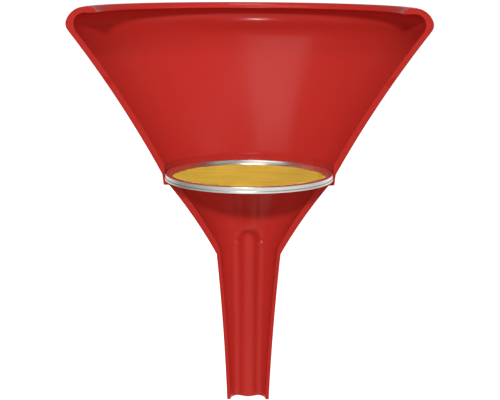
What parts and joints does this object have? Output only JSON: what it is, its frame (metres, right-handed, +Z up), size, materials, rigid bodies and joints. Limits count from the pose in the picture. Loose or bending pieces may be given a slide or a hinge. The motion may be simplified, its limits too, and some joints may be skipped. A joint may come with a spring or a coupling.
{
  "type": "funnel",
  "caption": "Cutaway pouring funnel: a red bowl with a turned-in splash rim, a seated lift-out brass wire strainer, a lower cone and a tapered spout with a vent channel.",
  "frame": {"origin": "centre of the spout's end face, on the funnel's axis", "axes": "+Z up the funnel's axis, from the spout to the bowl's mouth; +Y from the cut plane into the half that is kept; +X to the right seen from the cut side"},
  "size_m": [0.16, 0.1172, 0.1783],
  "materials": {
    "body_plastic": "red polyethylene, moulded semi-gloss, matt on the sawn faces",
    "strainer_metal": "tinned sheet, folded and pressed, satin",
    "brass_wire": "woven brass wire, plain weave, bright"
  },
  "bodies": {
    "funnel": {"funnel_body": "body_plastic"},
    "strainer": {"strainer_rim": "strainer_metal", "strainer_base": "strainer_metal", "wire_cloth": "brass_wire"}
  },
  "joints": [
    {"name": "strainer_lift", "type": "slide", "parent": "funnel", "child": "strainer", "axis": [0, 0, 1], "range_m": [0, 0.09]}
  ]
}
